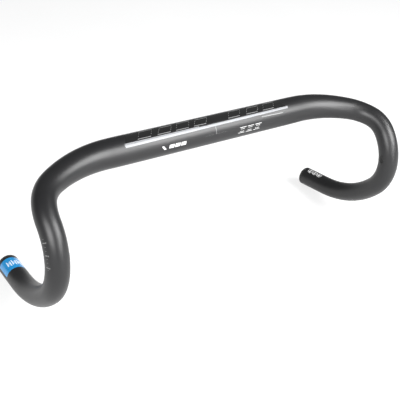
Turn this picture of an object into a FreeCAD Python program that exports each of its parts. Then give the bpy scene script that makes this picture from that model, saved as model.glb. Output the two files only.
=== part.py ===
import FreeCAD, Part
import os
import math

# Drop handlebar: one bent tube with port plugs, printed films and expanding end plugs.
# Millimetres. Origin: centre of the stem clamp zone, on the tube's axis.
# +X points to the rider's left, -Y forward, +Z up.

V = FreeCAD.Vector
doc = FreeCAD.newDocument("drop_handlebar")

# ---------------------------------------------------------------- driving dimensions
sheet = doc.addObject("Spreadsheet::Sheet", "dims")
sheet.Label = "dims"

DIMENSIONS = [
    # the bent tube
    ("clampDia", 31.8),
    ("gripDia", 23.8),
    ("wallClamp", 2.3),
    ("wallGrip", 1.6),
    ("buttStart", 60.0),
    ("taperStart", 110.0),
    ("taperEnd", 250.0),
    ("straightHalf", 126.5),
    ("bendOneRadius", 132.0),
    ("bendOneAngle", 32.0),
    ("bendTwoRadius", 50.5),
    ("bendTwoAngle", 62.0),
    ("bendHookLap", 27.0),
    ("hookOneRadius", 51.0),
    ("hookOneAngle", 41.0),
    ("hookTwoRadius", 56.0),
    ("hookTwoAngle", 77.5),
    ("hookThreeRadius", 126.0),
    ("hookThreeAngle", 42.5),
    ("gripStraight", 37.0),
    ("flareAngle", 5.5),
    ("barRoll", 11.0),
    # cable ports and their rubber plugs
    ("portWidth", 5.0),
    ("portLength", 8.0),
    ("leverPortAt", 289.0),
    ("exitPortAt", 52.0),
    ("exitPortTurn", 125.0),
    ("portLip", 1.1),
    ("portLipThick", 0.35),
    # printed films
    ("filmGap", 0.02),
    ("hookFilmGap", 0.05),
    ("filmThick", 0.20),
    ("clampZone", 24.0),
    ("stripeFrom", -113.0),
    ("stripeTo", 105.0),
    ("stripeLow", 38.0),
    ("stripeHigh", 55.5),
    ("glossFrom", -111.0),
    ("glossTo", 102.0),
    ("glossHigh", 112.0),
    ("solidMarkFrom", -72.0),
    ("solidMarkTo", -38.0),
    ("solidMarkLow", -5.0),
    ("solidMarkHigh", 13.0),
    ("openMarkFrom", 28.0),
    ("openMarkTo", 65.0),
    ("openMarkLow", -17.0),
    ("openMarkHigh", 16.0),
    ("endFilmFrom", 28.0),
    ("endFilmTo", 4.0),
    ("endFilmThick", 0.06),
    ("leverScaleFrom", 264.0),
    ("leverScaleTo", 299.0),
    ("leverScaleWide", 9.0),
    ("leverScaleTurn", 22.0),
    # expanding end plugs, measured from the tube's end face, outwards positive
    ("capGap", 0.3),
    ("capThick", 2.4),
    ("capChamfer", 0.6),
    ("spigotDepth", 6.0),
    ("plugClearance", 0.10),
    ("screwDia", 5.0),
    ("screwHoleDia", 5.3),
    ("headDia", 8.4),
    ("headHigh", 1.7),
    ("headWell", 9.4),
    ("headSink", 2.4),
    ("socketAcross", 3.0),
    ("socketDeep", 1.2),
    ("washerDia", 8.8),
    ("washerThick", 0.5),
    ("screwEnd", 32.5),
    ("sleeveFrom", 6.3),
    ("sleeveTo", 24.0),
    ("sleeveBore", 7.2),
    ("sleeveMouth", 17.4),
    ("sleeveTaper", 9.0),
    ("sleeveSlit", 1.4),
    ("wedgeBig", 19.6),
    ("wedgeSmall", 8.6),
    ("wedgeFrom", 16.5),
    ("wedgeTo", 28.5),
    ("wedgeRim", 2.5),
    ("threadFit", 0.05),
]

for row, (alias, value) in enumerate(DIMENSIONS, start=1):
    sheet.set("A%d" % row, alias)
    sheet.set("B%d" % row, repr(value))
    sheet.setAlias("B%d" % row, alias)
doc.recompute()


def dim(alias):
    """A driving dimension, read back from the sheet."""
    return float(getattr(sheet, alias))


NODES = []


def keep(obj, label):
    """Registers a finished sub-part under its node name."""
    obj.Label = label
    NODES.append(obj)
    return obj


def bind(obj, prop, formula):
    """Drives one property from the sheet: names after '#' are sheet aliases."""
    obj.setExpression(prop, formula.replace("#", "dims."))


# ---------------------------------------------------------------- the bar's centreline
CLAMP_R = dim("clampDia") / 2
GRIP_R = dim("gripDia") / 2
BEND_ONE = dim("bendOneRadius") * math.radians(dim("bendOneAngle"))
BEND_TWO = dim("bendTwoRadius") * math.radians(dim("bendTwoAngle"))
HOOKS = [
    dim("hookOneRadius") * math.radians(dim("hookOneAngle")),
    dim("hookTwoRadius") * math.radians(dim("hookTwoAngle")),
    dim("hookThreeRadius") * math.radians(dim("hookThreeAngle")),
]
HOOK_START = dim("straightHalf") + BEND_ONE + BEND_TWO - dim("bendHookLap")
GRIP_START = HOOK_START + sum(HOOKS)
HALF_LENGTH = GRIP_START + dim("gripStraight")


def ramped(at, knots):
    """Straight-line interpolation between (distance, value) knots, held at both ends."""
    if at <= knots[0][0]:
        return knots[0][1]
    for (a, va), (b, vb) in zip(knots, knots[1:]):
        if at <= b:
            return va + (vb - va) * (at - a) / (b - a)
    return knots[-1][1]


def heading(at):
    """How far the tube has turned from sideways to forward, in radians."""
    one = dim("straightHalf") + BEND_ONE
    turn = dim("bendOneAngle")
    knots = [
        (dim("straightHalf"), 0.0),
        (one, turn),
        (one + BEND_TWO, turn + dim("bendTwoAngle")),
    ]
    return math.radians(ramped(at, knots))


def hook_turn(at):
    """How far the tube has turned down and back through the hook, in radians."""
    knots = [(HOOK_START, 0.0)]
    angle = 0.0
    length = HOOK_START
    for arc, name in zip(HOOKS, ("hookOneAngle", "hookTwoAngle", "hookThreeAngle")):
        angle += dim(name)
        length += arc
        knots.append((length, angle))
    return math.radians(ramped(at, knots))


def direction(at):
    """Unit tangent of the left half of the bar, before the bar is rolled in its clamp."""
    hook = hook_turn(at)
    turn = heading(at) - math.radians(dim("flareAngle")) * math.sin(hook)
    return V(math.cos(turn), -math.sin(turn) * math.cos(hook), -math.sin(turn) * math.sin(hook))


ROLL = FreeCAD.Rotation(V(1, 0, 0), dim("barRoll"))
STEP = 0.5
LINE = [(0.0, V(0, 0, 0), ROLL.multVec(V(1, 0, 0)))]
count = int(round(HALF_LENGTH / STEP))
step = HALF_LENGTH / count
for i in range(count):
    middle = ROLL.multVec(direction((i + 0.5) * step))
    LINE.append(((i + 1) * step, LINE[-1][1] + middle * step, ROLL.multVec(direction((i + 1) * step))))


def on_line(at):
    """Point and tangent of the left half's centreline at a distance from the middle."""
    i = min(len(LINE) - 2, int(at / step))
    share = (at - LINE[i][0]) / step
    point = LINE[i][1] + (LINE[i + 1][1] - LINE[i][1]) * share
    tangent = ROLL.multVec(direction(at))
    return point, tangent


def eased(x):
    x = min(1.0, max(0.0, x))
    return x * x * (3 - 2 * x)


def outer_radius(at):
    """Outside radius: full at the clamp, eased down to the grip size through the bends."""
    share = eased((at - dim("taperStart")) / (dim("taperEnd") - dim("taperStart")))
    return CLAMP_R + (GRIP_R - CLAMP_R) * share


def bore_radius(at):
    """Inside radius beyond the butted middle."""
    return outer_radius(at) - dim("wallGrip")


def frame_at(at, turn):
    """Surface normal at a station: turn 0 faces away from the hook plane, towards +X."""
    point, tangent = on_line(at)
    side = V(1, 0, 0) - tangent * tangent.x
    side.normalize()
    normal = FreeCAD.Rotation(tangent, turn).multVec(side)
    return point, tangent, normal


# a circle as a closed rational curve: pole directions and weights round one ring
ROOT = math.sqrt(0.5)
RING = [(1, 0), (1, 1), (0, 1), (-1, 1), (-1, 0), (-1, -1), (0, -1), (1, -1), (1, 0)]
RING_WEIGHTS = [1, ROOT, 1, ROOT, 1, ROOT, 1, ROOT, 1]
RING_KNOTS = [0.0, 0.25, 0.5, 0.75, 1.0]
RING_MULTS = [3, 2, 2, 2, 3]
NUDGE = 0.01


def ring_poles(at, radius, seam):
    """The poles of one ring square to the tube, and the seam direction they start from."""
    point, tangent = on_line(at)
    seam = seam - tangent * seam.dot(tangent)
    seam.normalize()
    across = tangent.cross(seam)
    return [point + (seam * a + across * b) * radius(at) for a, b in RING], seam


def run_of(start, end, radius, pitch=6.0):
    """A solid run of the left half between two stations, with a given radius rule.
    Each row of poles is splined along the tube through every ring, and the seam
    direction is carried from ring to ring, so the skin doesn't twist."""
    runs = max(3, int(math.ceil((end - start) / pitch)))
    stations = [start + (end - start) * k / runs for k in range(runs + 1)]
    seam = V(0, -1, 0)
    rings = []
    slopes = []
    for at in stations:
        poles, seam = ring_poles(at, radius, seam)
        rings.append(poles)
        if at in (stations[0], stations[-1]):
            low = max(start, at - NUDGE)
            high = min(end, at + NUDGE)
            before = ring_poles(low, radius, seam)[0]
            after = ring_poles(high, radius, seam)[0]
            slopes.append([(q - p) * (1 / (high - low)) for p, q in zip(before, after)])
    rows = []
    for j in range(len(RING)):
        curve = Part.BSplineCurve()
        curve.interpolate(
            Points=[ring[j] for ring in rings],
            Parameters=stations,
            InitialTangent=slopes[0][j],
            FinalTangent=slopes[-1][j],
            Scale=False,
        )
        rows.append(curve)
    skin = Part.BSplineSurface()
    skin.buildFromPolesMultsKnots(
        [row.getPoles() for row in rows],
        RING_MULTS,
        rows[0].getMultiplicities(),
        RING_KNOTS,
        rows[0].getKnots(),
        False,
        False,
        2,
        rows[0].Degree,
        [[weight] * rows[0].NbPoles for weight in RING_WEIGHTS],
    )
    faces = [skin.toShape()]
    for at in (start, end):
        point, tangent = on_line(at)
        faces.append(Part.Face(Part.Wire(Part.Circle(point, tangent, radius(at)).toShape())))
    return sewn(faces)


def sewn(faces):
    """One closed solid from the faces that bound it."""
    skin = Part.makeCompound(faces)
    skin.sewShape()
    solid = Part.Solid(skin.Shells[0])
    if solid.Volume < 0:
        solid.reverse()
    return solid


def mirrored(shape):
    return shape.mirror(V(0, 0, 0), V(1, 0, 0))


def feature(name, shape):
    obj = doc.addObject("Part::Feature", name)
    obj.Shape = shape
    return obj


def axis_cylinder(name, radius, length, start):
    """A cylinder along +X whose size and start come from the sheet."""
    obj = doc.addObject("Part::Cylinder", name)
    obj.Placement = FreeCAD.Placement(V(0, 0, 0), FreeCAD.Rotation(V(0, 1, 0), 90))
    bind(obj, "Radius", radius)
    bind(obj, "Height", length)
    bind(obj, "Placement.Base.x", start)
    return obj


# ---------------------------------------------------------------- the tube
END_POINT, END_AXIS = on_line(HALF_LENGTH)
GRIP_POINT, GRIP_AXIS = on_line(GRIP_START)


def grip_cylinder(name, radius):
    """The straight run that ends each drop, as a true cylinder."""
    obj = doc.addObject("Part::Cylinder", name)
    bind(obj, "Radius", radius)
    bind(obj, "Height", "#gripStraight")
    obj.Placement = FreeCAD.Placement(GRIP_POINT, FreeCAD.Rotation(V(0, 0, 1), GRIP_AXIS))
    return obj


def mirror_of(obj, name):
    """The rider's-right twin of a left-hand shape."""
    twin = doc.addObject("Part::Mirroring", name)
    twin.Source = obj
    twin.Base = V(0, 0, 0)
    twin.Normal = V(1, 0, 0)
    return twin


def fused(name, shapes):
    obj = doc.addObject("Part::MultiFuse", name)
    obj.Shapes = shapes
    return obj


def side_faces(solid):
    """The faces of a solid run, without its flat ends."""
    return [face for face in solid.Faces if face.Surface.TypeId != "Part::GeomPlane"]


top_outer = axis_cylinder("top_outer", "#clampDia / 2", "2 * #taperStart", "-#taperStart")
side_outer = feature("side_outer", run_of(dim("taperStart"), GRIP_START, outer_radius))
grip_outer = grip_cylinder("grip_outer", "#gripDia / 2")

top_bore = axis_cylinder(
    "top_bore", "#clampDia / 2 - #wallClamp", "2 * #buttStart", "-#buttStart"
)
butt_bore = doc.addObject("Part::Cone", "butt_bore")
butt_bore.Placement = FreeCAD.Placement(V(0, 0, 0), FreeCAD.Rotation(V(0, 1, 0), 90))
bind(butt_bore, "Radius1", "#clampDia / 2 - #wallClamp")
bind(butt_bore, "Radius2", "#clampDia / 2 - #wallGrip")
bind(butt_bore, "Height", "#taperStart - #buttStart")
bind(butt_bore, "Placement.Base.x", "#buttStart")
side_bore = feature("side_bore", run_of(dim("taperStart"), GRIP_START, bore_radius))
grip_bore = grip_cylinder("grip_bore", "#gripDia / 2 - #wallGrip")
doc.recompute()


def end_disc(radius):
    return Part.Face(Part.Wire(Part.Circle(END_POINT, END_AXIS, radius).toShape()))


# the faces that bound the wall: outside, bore (turned to look out of the metal) and ends
wall_faces = side_faces(top_outer.Shape)
wall_faces += [face.reversed() for face in side_faces(top_bore.Shape)]
for run in (side_outer, grip_outer):
    wall_faces += side_faces(run.Shape)
    wall_faces += side_faces(mirrored(run.Shape))
for run in (butt_bore, side_bore, grip_bore):
    wall_faces += [face.reversed() for face in side_faces(run.Shape)]
    wall_faces += [face.reversed() for face in side_faces(mirrored(run.Shape))]
end_ring = end_disc(GRIP_R).cut(end_disc(GRIP_R - dim("wallGrip"))).Faces[0]
shell = feature("shell", sewn(wall_faces + [end_ring, mirrored(end_ring)]))


# ---------------------------------------------------------------- cable ports
def oval_prism(point, normal, along, width, length, low, high):
    """An oval block square to the tube's surface, long side along the tube."""
    across = normal.cross(along)
    half = (length - width) / 2
    radius = width / 2
    a = point + along * half + across * radius
    b = point - along * half + across * radius
    c = point - along * half - across * radius
    d = point + along * half - across * radius
    edges = [
        Part.LineSegment(a, b).toShape(),
        Part.Arc(b, point - along * (half + radius), c).toShape(),
        Part.LineSegment(c, d).toShape(),
        Part.Arc(d, point + along * (half + radius), a).toShape(),
    ]
    face = Part.Face(Part.Wire(edges))
    face.translate(normal * low)
    return face.extrude(normal * (high - low))


def port_frame(at, turn):
    point, tangent, normal = frame_at(at, turn)
    return point, normal, tangent


LEVER_PORT = port_frame(dim("leverPortAt"), 180.0)
EXIT_POINT, EXIT_ALONG = on_line(dim("exitPortAt"))
EXIT_NORMAL = FreeCAD.Rotation(V(1, 0, 0), dim("exitPortTurn")).multVec(V(0, -1, 0))
EXIT_PORT = (EXIT_POINT, EXIT_NORMAL, EXIT_ALONG)


def port_cutter(port):
    point, normal, along = port
    wide = dim("portWidth")
    return oval_prism(point, normal, along, wide, dim("portLength"), 5.0, CLAMP_R + 4)


lever_port = feature("lever_port_cut", port_cutter(LEVER_PORT))
lever_port_right = mirror_of(lever_port, "lever_port_cut_right")
exit_port = feature("exit_port_cut", port_cutter(EXIT_PORT))
exit_port_right = mirror_of(exit_port, "exit_port_cut_right")
port_cuts = fused("port_cuts", [lever_port, lever_port_right, exit_port, exit_port_right])
bar_tube = doc.addObject("Part::Cut", "bar_tube")
bar_tube.Base = shell
bar_tube.Tool = port_cuts
keep(bar_tube, "bar_tube")


def offset_rule(rule, change):
    return lambda at: rule(at) + change


def port_plug(port, start, end, outside_rule, inside_rule):
    """Rubber plug of a port: a stem through the wall, a thin lip outside, a flange inside."""
    point, normal, along = port
    wide = dim("portWidth")
    tall = dim("portLength")
    lip = 2 * dim("portLip")
    thick = dim("portLipThick")
    gap = dim("filmGap")
    stem = oval_prism(point, normal, along, wide - 0.04, tall - 0.04, 5.0, CLAMP_R + 4)
    broad = oval_prism(point, normal, along, wide + lip, tall + lip, 5.0, CLAMP_R + 4)
    top = run_of(start, end, offset_rule(outside_rule, thick))
    skin = run_of(start, end, offset_rule(outside_rule, gap))
    wall = run_of(start, end, offset_rule(inside_rule, -gap))
    deep = run_of(start, end, offset_rule(inside_rule, -1.0))
    lip_part = broad.common(top.cut(skin))
    flange = broad.common(wall.cut(deep))
    middle = stem.common(top.cut(deep))
    whole = middle.fuse([lip_part, flange]).removeSplitter()
    return whole.Solids[0] if len(whole.Solids) == 1 else whole


def clamp_bore_rule(at):
    return CLAMP_R - dim("wallClamp")


def clamp_outer_rule(at):
    return CLAMP_R


reach = dim("portLength")
lever_at = dim("leverPortAt")
exit_at = dim("exitPortAt")
lever_plug = port_plug(LEVER_PORT, lever_at - reach, lever_at + reach, outer_radius, bore_radius)
exit_plug = port_plug(
    EXIT_PORT, exit_at - reach, exit_at + reach, clamp_outer_rule, clamp_bore_rule
)
keep(feature("lever_port_plug_left", lever_plug), "lever_port_plug_left")
keep(feature("lever_port_plug_right", mirrored(lever_plug)), "lever_port_plug_right")
keep(feature("exit_port_plug_left", exit_plug), "exit_port_plug_left")
keep(feature("exit_port_plug_right", mirrored(exit_plug)), "exit_port_plug_right")


# ---------------------------------------------------------------- films on the straight top
def top_film(label, start, end, low, high):
    """A thin patch of the clamp-size cylinder between two stations and two angles.
    Angles are measured about the tube from straight ahead, upwards."""
    outer = doc.addObject("Part::Cylinder", label + "_sheet")
    bind(outer, "Radius", "#clampDia / 2 + #filmGap + #filmThick")
    bind(outer, "Height", "%s - (%s)" % (end, start))
    bind(outer, "Angle", "%s - (%s)" % (high, low))
    core = doc.addObject("Part::Cylinder", label + "_core")
    bind(core, "Radius", "#clampDia / 2 + #filmGap")
    bind(core, "Height", "%s - (%s) + 2" % (end, start))
    patch = doc.addObject("Part::Cut", label)
    patch.Base = outer
    patch.Tool = core
    doc.recompute()
    start_mm = sheet_value(start)
    high_deg = sheet_value(high)
    # the cylinder's own axis is turned onto +X with its zero angle facing the patch's top edge
    lie = FreeCAD.Rotation(V(0, 1, 0), 90)
    zero = lie.multVec(V(1, 0, 0))
    face = FreeCAD.Rotation(V(1, 0, 0), -high_deg).multVec(V(0, -1, 0))
    angle = math.degrees(math.atan2(zero.cross(face).x, zero.dot(face)))
    spin = FreeCAD.Rotation(V(1, 0, 0), angle)
    outer.Placement = FreeCAD.Placement(V(start_mm, 0, 0), spin * lie)
    core.Placement = FreeCAD.Placement(V(start_mm - 1, 0, 0), lie)
    return keep(patch, label)


def sheet_value(formula):
    """Evaluates a single '#alias' or '-#alias'."""
    if formula.startswith("-"):
        return -dim(formula[2:])
    return dim(formula[1:])


# the stripe and gloss band stop short of the stem's clamp zone, which stays bare metal
top_film("stripe_film_left", "#clampZone", "#stripeTo", "#stripeLow", "#stripeHigh")
top_film("stripe_film_right", "#stripeFrom", "-#clampZone", "#stripeLow", "#stripeHigh")
top_film("gloss_film_left", "#clampZone", "#glossTo", "#stripeHigh", "#glossHigh")
top_film("gloss_film_right", "#glossFrom", "-#clampZone", "#stripeHigh", "#glossHigh")
top_film("solid_mark_film", "#solidMarkFrom", "#solidMarkTo", "#solidMarkLow", "#solidMarkHigh")
top_film("open_mark_film", "#openMarkFrom", "#openMarkTo", "#openMarkLow", "#openMarkHigh")


# ---------------------------------------------------------------- films on the hooks and ends
def hook_film(start, end):
    """A thin skin right round one curved run of the hook."""
    gap = dim("hookFilmGap")
    thick = dim("filmThick")
    outer = run_of(start, end, offset_rule(outer_radius, gap + thick))
    core = run_of(start, end, offset_rule(outer_radius, gap))
    return outer.cut(core)


def patch_film(start, end, turn, wide):
    """A narrow scale stuck along the hook, facing one way round the tube."""
    whole = hook_film(start, end)
    middle = (start + end) / 2
    point, tangent, normal = frame_at(middle, turn)
    across = tangent.cross(normal)
    box = Part.makeBox(end - start + 20, wide, 40)
    matrix = FreeCAD.Matrix(
        tangent.x, across.x, normal.x, 0,
        tangent.y, across.y, normal.y, 0,
        tangent.z, across.z, normal.z, 0,
        0, 0, 0, 1,
    )
    box = box.transformed(matrix)
    corner = point - tangent * ((end - start) / 2 + 10) - across * (wide / 2)
    box.translate(corner)
    return whole.common(box)


def grip_wrap(name):
    """A label wrapped right round the straight end of a drop, thin enough for a lever's
    clamp band to be slid over it."""
    sheet_part = grip_cylinder(name + "_sheet", "#gripDia / 2 + #filmGap + #endFilmThick")
    core = grip_cylinder(name + "_core", "#gripDia / 2 + #filmGap")
    start = HALF_LENGTH - dim("endFilmFrom")
    for piece in (sheet_part, core):
        bind(piece, "Height", "#endFilmFrom - #endFilmTo")
        piece.Placement.Base = on_line(start)[0]
    wrap = doc.addObject("Part::Cut", name)
    wrap.Base = sheet_part
    wrap.Tool = core
    return wrap


end_mark = grip_wrap("end_mark")
keep(end_mark, "end_mark_film")
keep(mirror_of(end_mark, "end_label"), "end_label_film")
lever_scale = patch_film(
    dim("leverScaleFrom"), dim("leverScaleTo"), dim("leverScaleTurn"), dim("leverScaleWide")
)
keep(feature("lever_scale_left", lever_scale), "lever_scale_left")
keep(feature("lever_scale_right", mirrored(lever_scale)), "lever_scale_right")


# ---------------------------------------------------------------- expanding end plugs
def origin_plane(body, role):
    for item in body.Origin.OriginFeatures:
        if item.Role == role:
            return item
    raise ValueError("no plane " + role)


def ring_profile(name, points):
    """A PartDesign body turned about Z from a closed half-section of (radius, height)."""
    body = doc.addObject("PartDesign::Body", name)
    sketch = body.newObject("Sketcher::SketchObject", name + "_section")
    sketch.AttachmentSupport = [(origin_plane(body, "XZ_Plane"), "")]
    sketch.MapMode = "FlatFace"
    for (r1, z1), (r2, z2) in zip(points, points[1:] + points[:1]):
        sketch.addGeometry(Part.LineSegment(V(r1, z1, 0), V(r2, z2, 0)), False)
    doc.recompute()
    turned = body.newObject("PartDesign::Revolution", name + "_turned")
    turned.Profile = sketch
    turned.ReferenceAxis = (sketch, ["V_Axis"])
    turned.Angle = 360.0
    body.Tip = turned
    doc.recompute()
    return body


LEFT_END = FreeCAD.Placement(END_POINT, FreeCAD.Rotation(V(0, 0, 1), END_AXIS))
RIGHT_AXIS = V(-END_AXIS.x, END_AXIS.y, END_AXIS.z)
RIGHT_POINT = V(-END_POINT.x, END_POINT.y, END_POINT.z)
RIGHT_END = FreeCAD.Placement(RIGHT_POINT, FreeCAD.Rotation(V(0, 0, 1), RIGHT_AXIS))

PLUG_R = GRIP_R - dim("wallGrip") - dim("plugClearance")
FACE = dim("capGap") + dim("capThick")
WELL_FLOOR = FACE - dim("headSink")
WASHER_TOP = WELL_FLOOR + dim("washerThick")
HEAD_BOTTOM = WASHER_TOP + dim("threadFit")


def build_cap(name):
    """Flanged cap: flange as wide as the grip, spigot in the bore, well for the screw head."""
    hole = dim("screwHoleDia") / 2
    well = dim("headWell") / 2
    points = [
        (hole, -dim("spigotDepth")),
        (PLUG_R, -dim("spigotDepth")),
        (PLUG_R, dim("capGap")),
        (GRIP_R, dim("capGap")),
        (GRIP_R, FACE - dim("capChamfer")),
        (GRIP_R - dim("capChamfer"), FACE),
        (well, FACE),
        (well, WELL_FLOOR),
        (hole, WELL_FLOOR),
    ]
    return ring_profile(name, points)


def build_washer(name):
    disc = doc.addObject("Part::Cylinder", name + "_disc")
    bind(disc, "Radius", "#washerDia / 2")
    bind(disc, "Height", "#washerThick")
    hole = doc.addObject("Part::Cylinder", name + "_hole")
    bind(hole, "Radius", "#screwHoleDia / 2")
    bind(hole, "Height", "#washerThick")
    washer = doc.addObject("Part::Cut", name)
    washer.Base = disc
    washer.Tool = hole
    disc.Placement.Base = V(0, 0, WELL_FLOOR)
    hole.Placement.Base = V(0, 0, WELL_FLOOR)
    return washer


def build_screw(name):
    """Low-head socket screw: turned blank with a hexagon socket pocketed into its head."""
    shank = dim("screwDia") / 2
    head = dim("headDia") / 2
    top = HEAD_BOTTOM + dim("headHigh")
    body = ring_profile(
        name,
        [
            (0, -dim("screwEnd")),
            (shank - 0.5, -dim("screwEnd")),
            (shank, -dim("screwEnd") + 0.5),
            (shank, HEAD_BOTTOM),
            (head, HEAD_BOTTOM),
            (head, top - 0.4),
            (head - 0.4, top),
            (0, top),
        ],
    )
    before = body.Shape.Volume
    sketch = body.newObject("Sketcher::SketchObject", name + "_hexagon")
    sketch.AttachmentSupport = [(origin_plane(body, "XY_Plane"), "")]
    sketch.MapMode = "FlatFace"
    sketch.AttachmentOffset = FreeCAD.Placement(V(0, 0, top), FreeCAD.Rotation())
    corner = dim("socketAcross") / math.sqrt(3)
    corners = []
    for k in range(6):
        turn = math.radians(60 * k)
        corners.append(V(corner * math.cos(turn), corner * math.sin(turn), 0))
    for a, b in zip(corners, corners[1:] + corners[:1]):
        sketch.addGeometry(Part.LineSegment(a, b), False)
    doc.recompute()
    socket = body.newObject("PartDesign::Pocket", name + "_socket")
    socket.Profile = sketch
    bind(socket, "Length", "#socketDeep")
    body.Tip = socket
    doc.recompute()
    if body.Shape.Volume >= before:
        socket.Reversed = True
        doc.recompute()
    return body


def build_sleeve(name):
    """Rubber expander: a split ring with a tapered mouth for the wedge nut."""
    inner = dim("sleeveBore") / 2
    mouth = dim("sleeveMouth") / 2
    body = ring_profile(
        name,
        [
            (inner, -dim("sleeveTo") + dim("sleeveTaper")),
            (mouth, -dim("sleeveTo")),
            (PLUG_R, -dim("sleeveTo")),
            (PLUG_R, -dim("sleeveFrom")),
            (inner, -dim("sleeveFrom")),
        ],
    )
    before = body.Shape.Volume
    sketch = body.newObject("Sketcher::SketchObject", name + "_slit_line")
    sketch.AttachmentSupport = [(origin_plane(body, "XY_Plane"), "")]
    sketch.MapMode = "FlatFace"
    sketch.AttachmentOffset = FreeCAD.Placement(V(0, 0, 0), FreeCAD.Rotation())
    half = dim("sleeveSlit") / 2
    corners = [V(2.0, -half, 0), V(12, -half, 0), V(12, half, 0), V(2.0, half, 0)]
    for a, b in zip(corners, corners[1:] + corners[:1]):
        sketch.addGeometry(Part.LineSegment(a, b), False)
    doc.recompute()
    slit = body.newObject("PartDesign::Pocket", name + "_slit")
    slit.Profile = sketch
    slit.Type = 1
    body.Tip = slit
    doc.recompute()
    if body.Shape.Volume >= before - 1:
        slit.Reversed = True
        doc.recompute()
    return body


def build_wedge(name):
    """Wedge nut: a cone on the screw's thread, with a plain rim at its deep end."""
    thread = dim("screwDia") / 2 + dim("threadFit")
    big = dim("wedgeBig") / 2
    small = dim("wedgeSmall") / 2
    points = [
        (thread, -dim("wedgeTo")),
        (big, -dim("wedgeTo")),
        (big, -dim("wedgeTo") + dim("wedgeRim")),
        (small, -dim("wedgeFrom")),
        (thread, -dim("wedgeFrom")),
    ]
    return ring_profile(name, points)


BUILDERS = [
    ("end_cap", build_cap),
    ("cap_washer", build_washer),
    ("cap_screw", build_screw),
    ("expander_sleeve", build_sleeve),
    ("wedge_nut", build_wedge),
]
for side, end in (("left", LEFT_END), ("right", RIGHT_END)):
    for stem, builder in BUILDERS:
        label = "%s_%s" % (stem, side)
        piece = builder(label)
        doc.recompute()
        piece.Placement = end
        keep(piece, label)

# ---------------------------------------------------------------- checks and export
doc.recompute()
bad = []
for obj in doc.Objects:
    for word in obj.State:
        if word in ("Invalid", "Error"):
            bad.append("%s is %s" % (obj.Name, word))
for obj in NODES:
    if obj.Shape.isNull() or not obj.Shape.isValid():
        bad.append("%s has no valid shape" % obj.Label)
    elif len(obj.Shape.Solids) != 1:
        bad.append("%s has %d solids" % (obj.Label, len(obj.Shape.Solids)))
if bad:
    raise RuntimeError("; ".join(bad))

os.makedirs("parts", exist_ok=True)
for obj in NODES:
    obj.Shape.exportStep("parts/%s.step" % obj.Label)
    box = obj.Shape.BoundBox
    print(
        "%-24s %9.1f mm3  x %.1f %.1f  y %.1f %.1f  z %.1f %.1f"
        % (obj.Label, obj.Shape.Volume, box.XMin, box.XMax, box.YMin, box.YMax, box.ZMin, box.ZMax)
    )
print("half length", round(HALF_LENGTH, 2), "hook from", round(HOOK_START, 2))
print("end", END_POINT, END_AXIS)
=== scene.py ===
"""Drop handlebar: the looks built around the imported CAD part.

Lengths are metres in the part's own frame: origin at the centre of the stem clamp zone,
+X to the rider's left, -Y forward, +Z up. A place on the tube is given by its distance
along the centreline from the middle (negative on the rider's right) and its turn about
the tube, measured at the clamp from straight ahead, upwards.
"""
import math

import bmesh
import bpy
import numpy as np
from bpy.props import FloatProperty, FloatVectorProperty, IntProperty, PointerProperty
from mathutils import Euler, Matrix, Vector


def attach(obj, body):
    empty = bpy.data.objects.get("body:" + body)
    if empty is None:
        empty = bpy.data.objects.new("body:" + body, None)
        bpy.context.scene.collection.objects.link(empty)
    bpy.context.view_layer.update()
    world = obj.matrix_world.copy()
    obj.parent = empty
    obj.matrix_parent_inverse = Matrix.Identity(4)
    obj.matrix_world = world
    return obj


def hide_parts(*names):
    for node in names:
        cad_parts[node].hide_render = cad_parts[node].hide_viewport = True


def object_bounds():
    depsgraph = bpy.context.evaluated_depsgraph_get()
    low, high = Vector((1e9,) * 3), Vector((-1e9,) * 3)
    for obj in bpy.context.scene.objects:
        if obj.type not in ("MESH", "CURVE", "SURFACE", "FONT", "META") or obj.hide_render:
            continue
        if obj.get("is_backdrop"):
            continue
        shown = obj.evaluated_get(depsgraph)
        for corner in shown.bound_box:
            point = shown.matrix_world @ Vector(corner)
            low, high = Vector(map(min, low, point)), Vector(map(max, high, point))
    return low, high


bl_info = {
    "name": "Drop Handlebar",
    "version": (1, 0, 0),
    "blender": (4, 5, 0),
    "location": "3D View > Sidebar > Handlebar",
    "description": "Builds a drop handlebar's visible pieces on its CAD frame",
    "category": "Add Mesh",
}

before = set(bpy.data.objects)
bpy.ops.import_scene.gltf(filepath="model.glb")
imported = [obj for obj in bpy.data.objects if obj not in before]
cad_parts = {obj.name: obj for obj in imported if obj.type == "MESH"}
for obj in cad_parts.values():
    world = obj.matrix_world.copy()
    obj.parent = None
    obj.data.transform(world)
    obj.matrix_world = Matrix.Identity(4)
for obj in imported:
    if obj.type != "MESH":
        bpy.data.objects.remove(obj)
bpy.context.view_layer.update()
SIDES = (("left", 1.0), ("right", -1.0))
MILLIMETRE = 0.001
ARC_SCALE = 0.0159  # metres of surface per radian in the flat coordinates of the tube
LATHE_EDGE = 28  # degrees past which a turned piece's edge is drawn sharp
SKIN_EDGE = 32  # the same for port rims and films


# ---------------------------------------------------------------- settings
def length(name, text, value):
    return FloatProperty(name=name, description=text, default=value, unit="LENGTH", precision=5)


def turn(name, text, degrees):
    return FloatProperty(
        name=name, description=text, default=math.radians(degrees), subtype="ANGLE"
    )


def tint(name, text, red, green, blue):
    return FloatVectorProperty(
        name=name, description=text, default=(red, green, blue, 1.0), size=4, min=0.0, max=1.0,
        subtype="COLOR",
    )


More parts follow.
